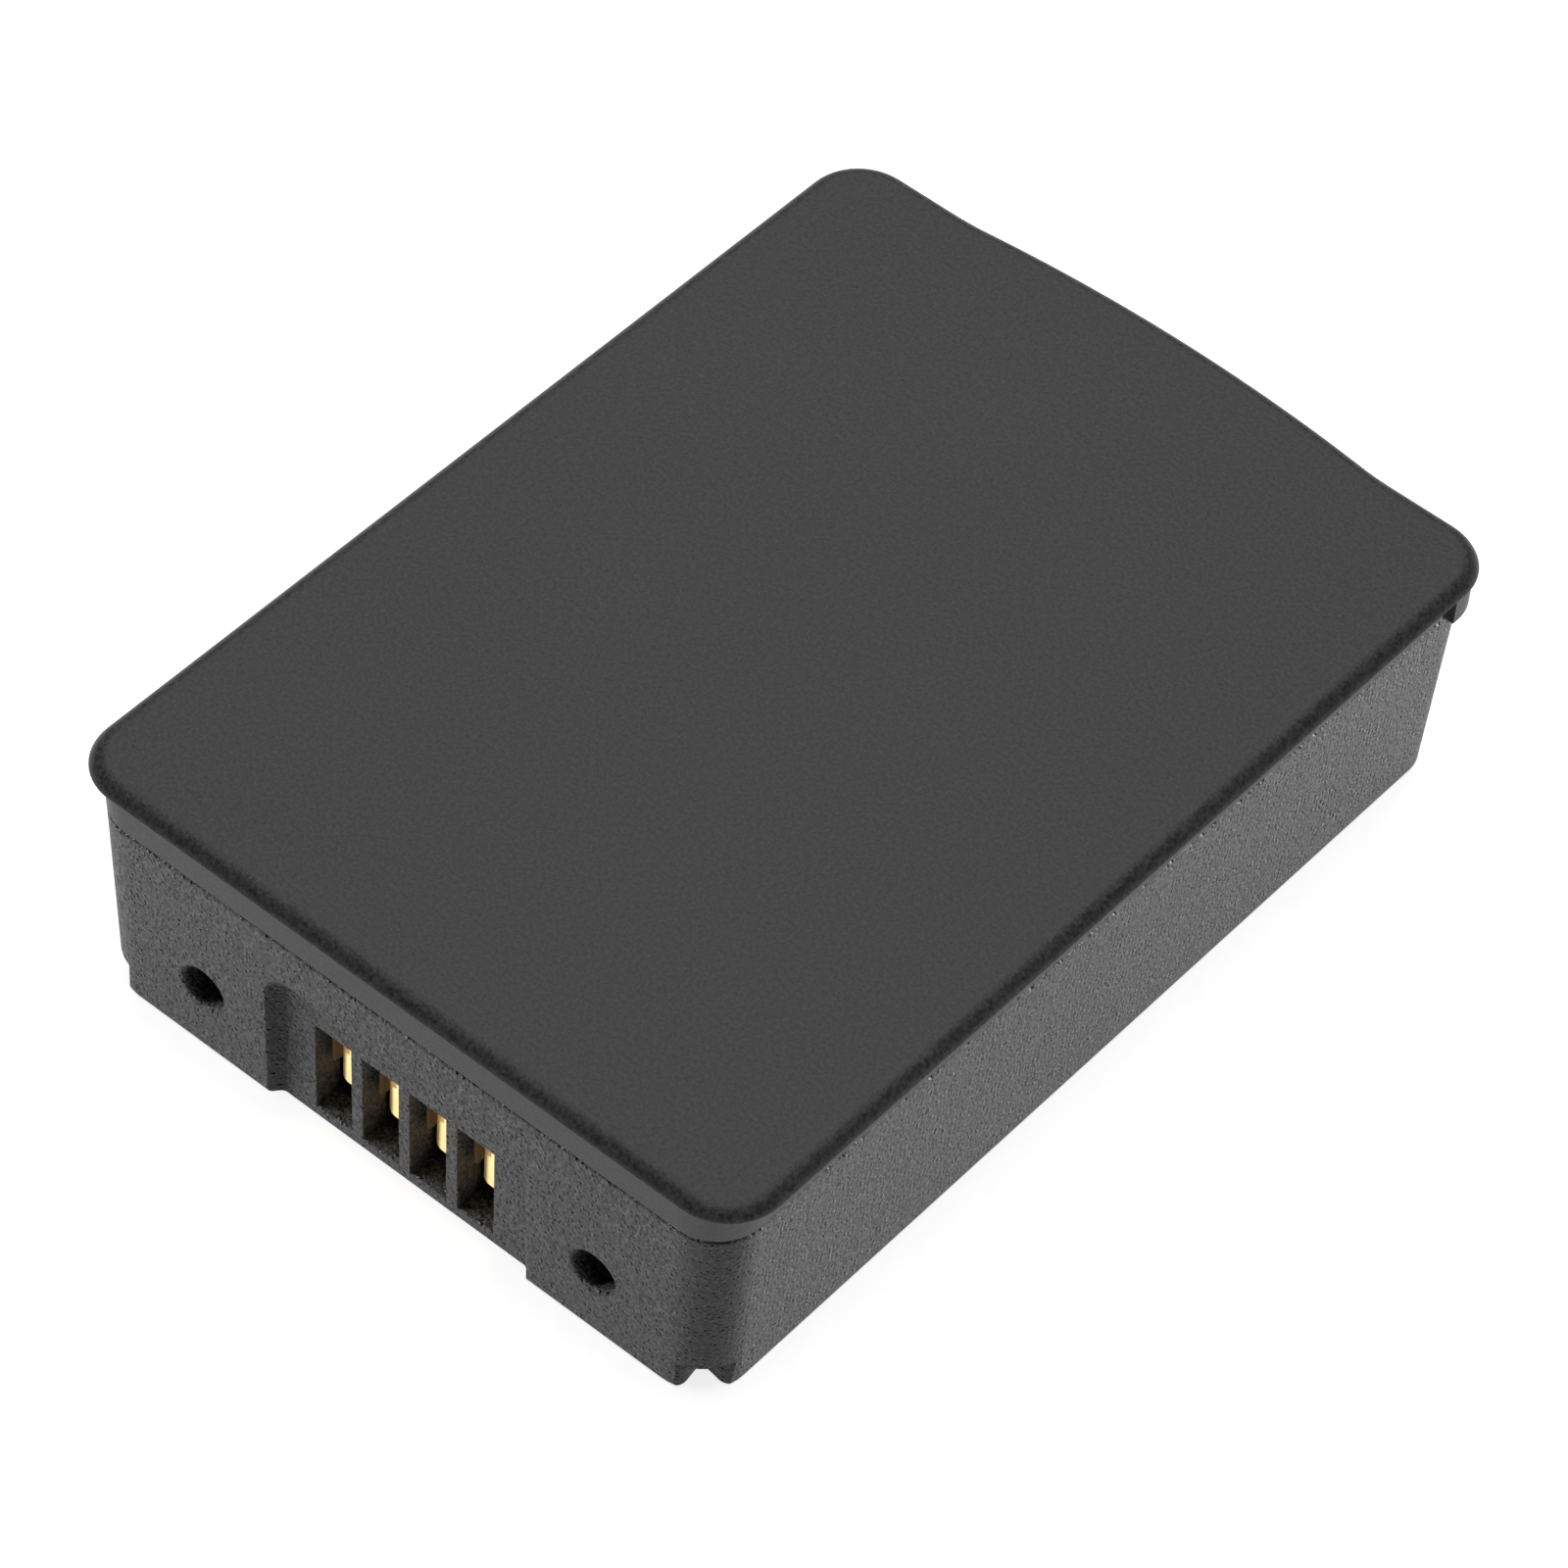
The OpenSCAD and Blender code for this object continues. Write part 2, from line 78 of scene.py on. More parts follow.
def selectOnly(piece, edgeTest=None, faceTest=None, vertTest=None):
    # picks by place or normal, as a hand would
    bpy.ops.object.mode_set(mode="OBJECT")
    mesh = piece.data
    for group in (mesh.vertices, mesh.edges, mesh.polygons):
        group.foreach_set("select", [False] * len(group))
    if faceTest:
        for face in mesh.polygons:
            face.select = faceTest(face)
        bpy.ops.object.mode_set(mode="EDIT")
        bpy.ops.mesh.select_mode(type="FACE")
    if edgeTest:
        for edge in mesh.edges:
            edge.select = edgeTest(edge)
        bpy.ops.object.mode_set(mode="EDIT")
        bpy.ops.mesh.select_mode(type="EDGE")
    if vertTest:
        for vert in mesh.vertices:
            vert.select = vertTest(vert.co)
        bpy.ops.object.mode_set(mode="EDIT")
        bpy.ops.mesh.select_mode(type="VERT")


def startEdit(piece):
    pick(piece)
    bpy.ops.object.mode_set(mode="EDIT")
    bpy.ops.mesh.select_mode(type="VERT")
    bpy.ops.mesh.select_all(action="SELECT")


def endEdit(piece):
    bpy.ops.mesh.select_all(action="SELECT")
    bpy.ops.mesh.normals_make_consistent(inside=False)
    bpy.ops.object.mode_set(mode="OBJECT")
    return piece


def addSheet(name, x, y, z):
    # flat rectangle between two values on each axis, one of which is a single level
    deselectAll()
    flat = [isinstance(span, (int, float)) for span in (x, y, z)]
    turn = (0, math.pi / 2, 0) if flat[0] else (math.pi / 2, 0, 0) if flat[1] else (0, 0, 0)
    spans = [(span, span) if level else span for span, level in zip((x, y, z), flat)]
    middle = [(low + high) / 2 * mm for low, high in spans]
    bpy.ops.mesh.primitive_plane_add(size=1, location=middle, rotation=turn)
    piece = bpy.context.object
    piece.name = name
    bpy.ops.object.transform_apply(location=True, rotation=True, scale=True)
    startEdit(piece)
    size = [max((high - low) * mm, 1e-6) for low, high in spans]
    bpy.ops.transform.resize(value=size, center_override=middle)
    return piece


def extrude(x, y, z):
    bpy.ops.mesh.extrude_region_move(TRANSFORM_OT_translate={"value": (x * mm, y * mm, z * mm)})


def roundCorners(piece, radius, segments, placeTest):
    selectOnly(piece, vertTest=lambda co: placeTest(co / mm))
    bpy.ops.mesh.bevel(offset=radius * mm, segments=segments, profile=0.5, affect="VERTICES")
    bpy.ops.mesh.select_all(action="SELECT")


def draftedBlock(name, foot, head, frontRadius, rearRadius, segments=12):
    # block with round corners, given at its foot and head by half width, front, rear and level
    (x0, front0, rear0, z0), (x1, front1, rear1, z1) = foot, head
    middle0, middle1 = (front0 + rear0) / 2, (front1 + rear1) / 2
    piece = addSheet(name, (-x0, x0), (front0, rear0), z0)
    roundCorners(piece, frontRadius, segments, lambda p: p.y < middle0)
    roundCorners(piece, rearRadius, segments, lambda p: p.y > rear0 - 0.01)
    extrude(0, 0, z1 - z0)
    growth = (x1 / x0, (rear1 - front1) / (rear0 - front0), 1)
    bpy.ops.transform.resize(value=growth, center_override=(0, middle0 * mm, z1 * mm))
    bpy.ops.transform.translate(value=(0, (middle1 - middle0) * mm, 0))
    return piece


def turnEdge(radius, steps, degrees=90):
    # rounds the rim of the chosen face, ring by ring
    turns = [math.radians(degrees) * (1 - i / steps) for i in range(steps + 1)]
    for this, following in zip(turns, turns[1:]):
        bpy.ops.mesh.inset(thickness=radius * (math.sin(this) - math.sin(following)) * mm,
                           depth=radius * (math.cos(following) - math.cos(this)) * mm)


def turnLowerEdge(piece, level, radius, steps):
    endEdit(piece)

    def isUnderside(face):
        return face.normal.z < -0.9 and abs(face.center.z / mm - level) < 0.02

    selectOnly(piece, faceTest=isUnderside)
    turnEdge(radius, steps)
    return endEdit(piece)


def quarterTurn(radius, steps=4):
    # how far out and how far in each ring of a rounded mouth lies
    turns = [math.pi / 2 * i / steps for i in range(steps + 1)]
    return [(radius * (1 - math.sin(turn)), radius * (1 - math.cos(turn))) for turn in turns]


def ringCutter(name, x, rings, radius=0.0):
    # cutter along Y, ring by ring: half width, low, high and place; its upper corners may be round
    half, low, high, y = rings[0]
    piece = addSheet(name, (x - half, x + half), y, (low, high))
    if radius:
        roundCorners(piece, radius, 10, lambda p: p.z > (low + high) / 2)
    for (half0, low0, high0, y0), (half1, low1, high1, y1) in zip(rings, rings[1:]):
        extrude(0, y1 - y0, 0)
        middle0, middle1 = (low0 + high0) / 2, (low1 + high1) / 2
        bpy.ops.transform.resize(value=(half1 / half0, 1, (high1 - low1) / (high0 - low0)),
                                 center_override=(x * mm, y1 * mm, middle0 * mm))
        bpy.ops.transform.translate(value=(0, 0, (middle1 - middle0) * mm))
    return endEdit(piece)


def plainBlock(name, x, y, z):
    piece = addSheet(name, x, y, z[0])
    extrude(0, 0, z[1] - z[0])
    return endEdit(piece)


def addRod(name, x, y, z, radius, segments=48):
    # round rod along Y
    deselectAll()
    place = (x * mm, (y[0] + y[1]) / 2 * mm, z * mm)
    bpy.ops.mesh.primitive_cylinder_add(vertices=segments, radius=radius * mm, depth=(y[1] - y[0]) * mm,
                                        location=place, rotation=(math.pi / 2, 0, 0))
    piece = bpy.context.object
    piece.name = name
    bpy.ops.object.transform_apply(location=True, rotation=True, scale=True)
    return piece


def combine(piece, others, operation):
    for other in others:
        change = piece.modifiers.new("change", "BOOLEAN")
        change.operation = operation
        change.solver = "EXACT"
        change.object = other
        applyModifiers(piece)
        bpy.data.objects.remove(other)
    return piece


def weld(piece):
    # clears what the cuts leave: doubles and needless points
    startEdit(piece)
    bpy.ops.mesh.remove_doubles(threshold=0.002 * mm)
    bpy.ops.mesh.dissolve_limited(angle_limit=math.radians(0.3))
    return endEdit(piece)


def sharpEdges(piece, angle, placeTest):
    # edges that turn by more than an angle, where a test on their middle says so
    mesh = piece.data
    faceNormals = {}
    for face in mesh.polygons:
        for key in face.edge_keys:
            faceNormals.setdefault(key, []).append(face.normal.copy())
    limit = math.cos(math.radians(angle))
    chosen = set()
    for edge in mesh.edges:
        normals = faceNormals.get(tuple(sorted(edge.vertices)), [])
        if len(normals) == 2 and normals[0].dot(normals[1]) < limit:
            middle = (mesh.vertices[edge.vertices[0]].co + mesh.vertices[edge.vertices[1]].co) / 2
            if placeTest(middle / mm):
                chosen.add(edge.index)
    return chosen


def breakEdges(piece, angle, width, segments, placeTest):
    chosen = sharpEdges(piece, angle, placeTest)
    selectOnly(piece, edgeTest=lambda edge: edge.index in chosen)
    bpy.ops.mesh.bevel(offset=width * mm, segments=segments, profile=0.5, affect="EDGES",
                       clamp_overlap=False, miter_outer="ARC")
    bpy.ops.object.mode_set(mode="OBJECT")
    return len(chosen)


def smoothPiece(piece, angle):
    pick(piece)
    bpy.ops.object.shade_smooth_by_angle(angle=math.radians(angle))
    weighted = piece.modifiers.new("weighted", "WEIGHTED_NORMAL")
    weighted.keep_sharp = True
    applyModifiers(piece)


# shader maths

class Wire:
    # one socket of a node tree, so that maths on it adds Math nodes
    def __init__(self, tree, socket=None):
        self.tree = tree
        self.socket = socket

    def node(self, kind, settings, sockets, output=0):
        made = self.tree.nodes.new(kind)
        for name, value in settings.items():
            setattr(made, name, value)
        for name, value in sockets.items():
            if isinstance(value, Wire):
                self.tree.links.new(value.socket, made.inputs[name])
            else:
                made.inputs[name].default_value = value
        return Wire(self.tree, made.outputs[output])

    def maths(self, operation, first, second):
        return self.node("ShaderNodeMath", {"operation": operation}, {0: first, 1: second})

    def __add__(self, other):
        return self.maths("ADD", self, other)

    def __radd__(self, other):
        return self.maths("ADD", other, self)

    def __sub__(self, other):
        return self.maths("SUBTRACT", self, other)

    def __rsub__(self, other):
        return self.maths("SUBTRACT", other, self)

    def __mul__(self, other):
        return self.maths("MULTIPLY", self, other)

    def __rmul__(self, other):
        return self.maths("MULTIPLY", other, self)

    def noise(self, place, size, detail=2.0, rough=0.5):
        # size is the width of one grain in millimetres
        sockets = {"Vector": place, "Scale": 1 / (size * mm), "Detail": detail, "Roughness": rough}
        return self.node("ShaderNodeTexNoise", {}, sockets)

    def cells(self, place, size, feature="F1", output="Distance"):
        sockets = {"Vector": place, "Scale": 1 / (size * mm)}
        return self.node("ShaderNodeTexVoronoi", {"feature": feature}, sockets, output)

    def ramp(self, low, high):
        # 0 below low and 1 above high
        sockets = {"Value": self, "From Min": low, "From Max": high}
        return self.node("ShaderNodeMapRange", {"clamp": True}, sockets)

    def blend(self, first, second):
        # the first colour where this is 0 and the second, a colour or a wire, where it is 1
        return self.node("ShaderNodeMix", {"data_type": "RGBA"}, {"Factor": self, 6: first, 7: second}, 2)

    def tint(self, dark, light):
        return self.blend((*dark, 1), (*light, 1))

    def bump(self, height, depth):
        # depth is the height of the relief in millimetres
        return self.node("ShaderNodeBump", {}, {"Distance": depth * mm, "Height": height})


def newFinish(name, constants):
    material = bpy.data.materials.new(name)
    material.use_nodes = True
    shader = material.node_tree.nodes["Principled BSDF"]
    for socket, value in constants.items():
        shader.inputs[socket].default_value = value
    start = Wire(material.node_tree)
    place = start.node("ShaderNodeTexCoord", {}, {}, "Object")
    return material, shader, start, place


def feed(shader, **wires):
    names = {"colour": "Base Color", "roughness": "Roughness", "normal": "Normal"}
    for name, wire in wires.items():
        wire.tree.links.new(wire.socket, shader.inputs[names[name]])


# finishes

# grain sizes and depths are in millimetres, and heights are shares of the depth
caseLook = {
    "spot": 0.4, "spotEdge": 0.36, "spotHeight": 1.1, "raisedShare": (0.45, 0.55), "plainShade": 0.5,
    "fine": 0.17, "fineHeight": 0.4, "pitWithShade": 0.6, "holeEdge": (0.14, 0.2), "holeHeight": 0.4,
    "speck": 0.21, "speckShare": (0.42, 0.66), "depth": 0.6,
    "dark": (0.002, 0.002, 0.002), "light": (0.2, 0.2, 0.204),
    "rough": 0.36, "roughFine": 0.25, "gloss": 0.4,
}
coverLook = {
    "grain": 0.12, "grainShare": (0.3, 0.7), "grainShade": 0.3, "grainHeight": 0.6,
    "speck": 0.26, "speckShare": (0.35, 0.65), "speckShade": 0.5, "speckHeight": 0.7,
    "cloud": 14.0, "cloudShade": 0.2, "depth": 0.012,
    "dark": (0.003, 0.003, 0.0032), "light": (0.098, 0.098, 0.103),
    "rough": 0.4, "roughSpeck": 0.1, "roughCloud": 0.04, "gloss": 0.5,
}
goldLook = {
    "drawn": 0.5, "tarnish": 1.3, "dark": (0.9, 0.66, 0.3), "light": (1.0, 0.84, 0.5),
    "shadedEnd": (0.05, 0.03, 0.014), "shadeFrom": -32.25, "shadeTo": -31.95,
    "rough": 0.55, "roughDrawn": 0.15, "depth": 0.004,
}
mouldingLook = {
    "flow": 2.5, "grain": 0.12, "dark": (0.02, 0.02, 0.022), "light": (0.035, 0.035, 0.037),
    "rough": 0.4, "roughGrain": 0.15, "depth": 0.005,
}
boardLook = {
    "weave": 0.35, "weaveShade": 0.3, "tracks": 1.6, "trackEdge": (0.05, 0.09), "trackShade": 0.7,
    "dark": (0.02, 0.2, 0.09), "light": (0.02, 0.11, 0.05), "rough": 0.28, "roughWeave": 0.12, "depth": 0.02,
}
chipLook = {
    "grain": 0.06, "detail": 3.0, "coarse": 0.6, "dark": (0.012, 0.012, 0.013), "light": (0.03, 0.03, 0.032),
    "rough": 0.5, "roughGrain": 0.15, "depth": 0.004,
}
ceramicLook = {
    "grain": 0.15, "detail": 3.0, "coarse": 0.6, "dark": (0.3, 0.2, 0.11), "light": (0.52, 0.4, 0.26),
    "rough": 0.35, "roughGrain": 0.2, "depth": 0.004,
}
paperLook = {
    "grain": 0.3, "detail": 5.0, "coarse": 0.7, "dark": (0.66, 0.63, 0.54), "light": (0.84, 0.82, 0.75),
    "rough": 0.7, "roughGrain": 0.15, "depth": 0.03,
}
nickelLook = {
    "grain": 0.08, "stretch": 0.08, "dark": (0.55, 0.53, 0.49), "light": (0.72, 0.7, 0.66),
    "rough": 0.22, "roughGrain": 0.2, "depth": 0.002,
}
foilLook = {
    "crease": 6.0, "grain": 0.25, "dark": (0.5, 0.52, 0.54), "light": (0.66, 0.68, 0.7),
    "rough": 0.32, "roughGrain": 0.12, "depth": 0.25,
}
foamLook = {
    "pore": 0.35, "dark": (0.015, 0.015, 0.016), "light": (0.07, 0.07, 0.072),
    "rough": 0.85, "roughPore": 0.1, "depth": 0.1,
}


def sparkGrainFinish():
    # spark-eroded mould: raised and sunk spots on fine grain, with a few deep pits; the raised spots'
    # centres carry a painted glint and the pits carry painted shade
    look = caseLook
    material, shader, start, place = newFinish("sparkGrainBlack", {"Specular IOR Level": look["gloss"]})
    spots = 1 - start.cells(place, look["spot"]).ramp(0.0, look["spotEdge"])
    raised = start.cells(place, look["spot"], "F1", "Color").ramp(*look["raisedShare"])
    fine = start.noise(place, look["fine"], 4.0, 0.75)
    speck = start.noise(place, look["speck"], 2.0, 0.6).ramp(*look["speckShare"])
    pitWithShade = start.cells(place, look["pitWithShade"]).ramp(*look["holeEdge"])
    relief = spots * (raised * 2 - 1) * look["spotHeight"]
    relief = relief + fine * look["fineHeight"] + pitWithShade * look["holeHeight"]
    # colour: the grain's own speckled tone, lighter at the raised spots' centres as a painted glint and
    # black in the pits as painted shade
    shade = speck * (look["plainShade"] + (1 - look["plainShade"]) * spots * raised) * pitWithShade
    feed(shader, colour=shade.tint(look["dark"], look["light"]),
         roughness=look["rough"] + look["roughFine"] * fine, normal=start.bump(relief, look["depth"]))
    return material


def fineMatteFinish():
    look = coverLook
    material, shader, start, place = newFinish("fineMatteBlack", {"Specular IOR Level": look["gloss"]})
    grain = start.noise(place, look["grain"], 2.0, 0.7).ramp(*look["grainShare"])
    speck = start.noise(place, look["speck"], 2.0, 0.6).ramp(*look["speckShare"])
    cloud = start.noise(place, look["cloud"])
    shade = grain * look["grainShade"] + speck * look["speckShade"] + cloud * look["cloudShade"]
    relief = grain * look["grainHeight"] + speck * look["speckHeight"]
    feed(shader, colour=shade.tint(look["dark"], look["light"]),
         roughness=look["rough"] + look["roughSpeck"] * speck + look["roughCloud"] * cloud,
         normal=start.bump(relief, look["depth"]))
    return material


def goldPlateFinish():
    # gold on the pad, with painted shade, near black-brown, towards the front ends of the folded cheeks
    look = goldLook
    material, shader, start, place = newFinish("goldPlate", {"Metallic": 1.0})
    drawn = start.noise(place, look["drawn"], 3.0, 0.6)
    tarnish = start.noise(place, look["tarnish"])
    depth = start.node("ShaderNodeSeparateXYZ", {}, {0: place}, "Y")
    # painted shade: the colour goes dark towards the cheeks' front ends, by place along Y
    unshaded = depth.ramp(look["shadeFrom"] * mm, look["shadeTo"] * mm)
    gold = tarnish.tint(look["dark"], look["light"])
    feed(shader, colour=unshaded.blend((*look["shadedEnd"], 1), gold),
         roughness=look["rough"] + look["roughDrawn"] * drawn, normal=start.bump(drawn, look["depth"]))
    return material


def plainMouldingFinish():
    look = mouldingLook
    material, shader, start, place = newFinish("plainBlackMoulding", {})
    flow = start.noise(place, look["flow"])
    grain = start.noise(place, look["grain"], 2.0, 0.6)
    feed(shader, colour=flow.tint(look["dark"], look["light"]),
         roughness=look["rough"] + look["roughGrain"] * grain, normal=start.bump(grain, look["depth"]))
    return material


def solderMaskFinish():
    look = boardLook
    material, shader, start, place = newFinish("greenSolderMask", {"Coat Roughness": 0.15})
    weave = start.noise(place, look["weave"], 3.0, 0.6)
    tracks = start.cells(place, look["tracks"], "DISTANCE_TO_EDGE").ramp(*look["trackEdge"])
    shade = tracks * look["trackShade"] + weave * look["weaveShade"]
    feed(shader, colour=shade.tint(look["dark"], look["light"]),
         roughness=look["rough"] + look["roughWeave"] * weave, normal=start.bump(tracks, look["depth"]))
    return material


def grainyFinish(name, look):
    # one even grain, as on the chips, the ceramic and the paper
    material, shader, start, place = newFinish(name, {})
    grain = start.noise(place, look["grain"], look["detail"], look["coarse"])
    feed(shader, colour=grain.tint(look["dark"], look["light"]),
         roughness=look["rough"] + look["roughGrain"] * grain, normal=start.bump(grain, look["depth"]))
    return material


def nickelFinish():
    look = nickelLook
    material, shader, start, place = newFinish("nickelSheet", {"Metallic": 1.0})
    stretched = start.node("ShaderNodeMapping", {}, {"Vector": place, "Scale": (1.0, 1.0, look["stretch"])})
    rolled = start.noise(stretched, look["grain"], 3.0, 0.6)
    feed(shader, colour=rolled.tint(look["dark"], look["light"]),
         roughness=look["rough"] + look["roughGrain"] * rolled, normal=start.bump(rolled, look["depth"]))
    return material


def foilFinish():
    # laminated foil of a pouch cell, faintly creased
    look = foilLook
    material, shader, start, place = newFinish("pouchFoil", {"Metallic": 1.0})
    crease = start.noise(place, look["crease"], 4.0, 0.6)
    grain = start.noise(place, look["grain"])
    feed(shader, colour=crease.tint(look["dark"], look["light"]),
         roughness=look["rough"] + look["roughGrain"] * grain, normal=start.bump(crease, look["depth"]))
    return material


def foamFinish():
    look = foamLook
    material, shader, start, place = newFinish("darkFoam", {})
    pores = start.cells(place, look["pore"])
    feed(shader, colour=pores.tint(look["dark"], look["light"]),
         roughness=look["rough"] + look["roughPore"] * pores, normal=start.bump(pores, look["depth"]))
    return material


finishes = {
    "case_plastic": sparkGrainFinish(),
    "cover_plastic": fineMatteFinish(),
    "contact_gold": goldPlateFinish(),
    "inner_plastic": plainMouldingFinish(),
    "circuit_board": solderMaskFinish(),
    "chip": grainyFinish("mouldingCompound", chipLook),
    "ceramic": grainyFinish("brownCeramic", ceramicLook),
    "nickel": nickelFinish(),
    "cell_foil": foilFinish(),
    "insulating_paper": grainyFinish("insulatingPaper", paperLook),
    "foam": foamFinish(),
}


def dress(piece, slotName):
    piece.data.materials.clear()
    piece.data.materials.append(finishes[slotName])


for part in frame["record"]["subparts"]:
    dress(frame["nodes"][part["node"]], part["material_slot"])
print("finishes made")


# camera, in place first

viewpoint = {
    "place": (158.259, -212.545, 304.833),
    "right": (0.759382, 0.648135, 0.057108),
    "up": (-0.515203, 0.545378, 0.661157),
    "ahead": (-0.397373, 0.531492, -0.748071),
    "lens": 154.696,
}
lensData = bpy.data.cameras.new("photoCamera")
lensData.sensor_width = 36
lensData.lens = viewpoint["lens"]
lensData.clip_start = 0.01
lensData.clip_end = 20
camera = bpy.data.objects.new("photoCamera", lensData)
turned = Matrix((viewpoint["right"], viewpoint["up"], -Vector(viewpoint["ahead"]))).transposed()
camera.matrix_world = Matrix.Translation(Vector(viewpoint["place"]) * mm) @ turned.to_4x4()
bpy.context.scene.collection.objects.link(camera)
bpy.context.scene.camera = camera


# case

caseForm = {
    # half width, front, rear and level of the drafted walls
    "foot": (23.497, -34.59, 33.6585, 0), "head": (24.13, -34.995, 33.785, 14.5),
    "frontRadius": 3.3, "rearRadius": 2.6, "wall": 1.4, "step": 0.7, "seat": 13.3,
    "baseRound": 0.3, "topRound": 0.15, "smooth": 40,
    "bayHalf": 10.1, "bayTop": 11.3, "bayDepth": 0.77, "bayWidth": 0.9, "bayTurn": 0.8, "bayRadius": 2.0,
    "slots": 4, "slotPitch": 3.64, "slotHalf": 1.35, "slotLow": 0.75, "slotHigh": 8.15, "slotRound": 0.12,
    "slotAhead": 0.3, "slotBehind": 0.7, "contactY": -31.894,
    "socketX": 15.0, "socketZ": 5.2, "socketRadius": 1.5, "socketDepth": 5.0, "socketWall": 1.3,
    "socketRound": 0.4, "webSetback": 0.05,
    "notch": 2.3, "notchHigh": 2.3, "notchRoot": 0.6, "notchLobe": 0.9, "notchSlant": 0.35,
    "notchBase": 0.3, "notchSkin": 0.07, "notchBeyond": 0.6,
    "padSetback": 0.5, "padLap": 1.6, "padLength": 4.9,
    "stopX": 18.297, "stopHalf": 2.5, "stopFront": -27.294, "stopRear": -25.894, "stopHigh": 4.0,
}


def caseOutline(z):
    f = caseForm
    return tuple(low + (high - low) * z / f["head"][3] for low, high in zip(f["foot"], f["head"]))


def frontFace(z):
    return caseOutline(z)[1]


def leanWithWall(piece):
    # a cutter made against Y = 0 is set against the drafted contact end
    f = caseForm
    piece.rotation_euler.x = math.atan((f["foot"][1] - f["head"][1]) / f["head"][3])
    piece.location.y = f["foot"][1] * mm
    pick(piece)
    bpy.ops.object.transform_apply(location=True, rotation=True, scale=True)
    return piece


def caseShell():
    f = caseForm
    top = f["head"][3] - f["topRound"]
    piece = draftedBlock("caseMoulding", caseOutline(f["baseRound"]), caseOutline(top),
                         f["frontRadius"], f["rearRadius"])
    turnEdge(f["topRound"], 3)
    bpy.ops.mesh.inset(thickness=(f["step"] - f["topRound"]) * mm)
    extrude(0, 0, f["seat"] - f["head"][3])
    bpy.ops.mesh.inset(thickness=f["step"] * mm)
    extrude(0, 0, f["wall"] - f["seat"])
    narrower = (caseOutline(f["wall"])[0] - f["wall"]) / (caseOutline(f["seat"])[0] - f["wall"])
    bpy.ops.transform.resize(value=(narrower, 1, 1), center_override=(0, 0, f["wall"] * mm))
    return turnLowerEdge(piece, f["baseRound"], f["baseRound"], 4)


def insideParts():
    # the block behind the slots, the blind tubes with their webs, two stops and the raised corners
    f = caseForm
    inner = frontFace(f["head"][3]) + f["wall"] / 2
    low = f["wall"] / 2
    across = f["bayHalf"] + f["wall"]
    blockHigh = f["bayTop"] + f["wall"]
    parts = [plainBlock("slotBlock", (-across, across), (inner, f["contactY"]), (low, blockHigh))]
    tubeStart = frontFace(f["socketZ"]) + f["wall"] / 2
    tubeEnd = frontFace(f["socketZ"]) + f["socketDepth"] + f["socketWall"]
    tubeRadius = f["socketRadius"] + f["socketWall"]
    webEnd = tubeEnd - f["webSetback"]
    for side in (-1, 1):
        x = side * f["socketX"]
        parts.append(addRod("tube", x, (tubeStart, tubeEnd), f["socketZ"], tubeRadius))
        parts.append(plainBlock("web", (x - low, x + low), (tubeStart, webEnd), (low, f["socketZ"])))
        stop = side * f["stopX"]
        parts.append(plainBlock("stop", (stop - f["stopHalf"], stop + f["stopHalf"]),
                                (f["stopFront"], f["stopRear"]), (low, low + f["stopHigh"])))
        parts.append(cornerPad(side))
    return parts


def cornerPad(side):
    # solid corner over a notch, with its outer edge inside the wall
    f = caseForm
    outer = f["foot"][0] - f["padSetback"]
    inner = f["foot"][0] - f["notch"] - f["padLap"]
    front = f["foot"][1] + f["padSetback"]
    low = f["wall"] / 2
    pad = addSheet("cornerPad", sorted((side * inner, side * outer)), (front, front + f["padLength"]), low)
    roundCorners(pad, f["frontRadius"] - f["padSetback"], 8,
                 lambda p: p.y < front + 0.01 and abs(p.x) > outer - 0.01)
    extrude(0, 0, f["notchHigh"] + f["wall"] - low)
    return endEdit(pad)


def bayCutter():
    # soft S-shaped sides, from the face down to the bay's floor
    f = caseForm
    steps = 12
    rings = [(f["bayHalf"], -1, f["bayTop"], -1)]
    for i in range(steps + 1):
        into = f["bayWidth"] * i / steps
        deep = f["bayDepth"] * (1 - math.cos(math.pi * (i / steps) ** f["bayTurn"])) / 2
        rings.append((f["bayHalf"] - into, -1, f["bayTop"] - into, deep))
    return leanWithWall(ringCutter("bayCutter", 0, rings, f["bayRadius"]))


def slotCutter(x):
    f = caseForm
    deep = f["contactY"] - f["foot"][1] + f["slotBehind"]
    rings = [(f["slotHalf"] + out, f["slotLow"] - out, f["slotHigh"] + out, f["bayDepth"] + into)
             for out, into in quarterTurn(f["slotRound"])]
    rings.insert(0, (*rings[0][:3], f["slotAhead"]))
    rings.append((*rings[-1][:3], deep))
    return leanWithWall(ringCutter("slotCutter", x, rings))


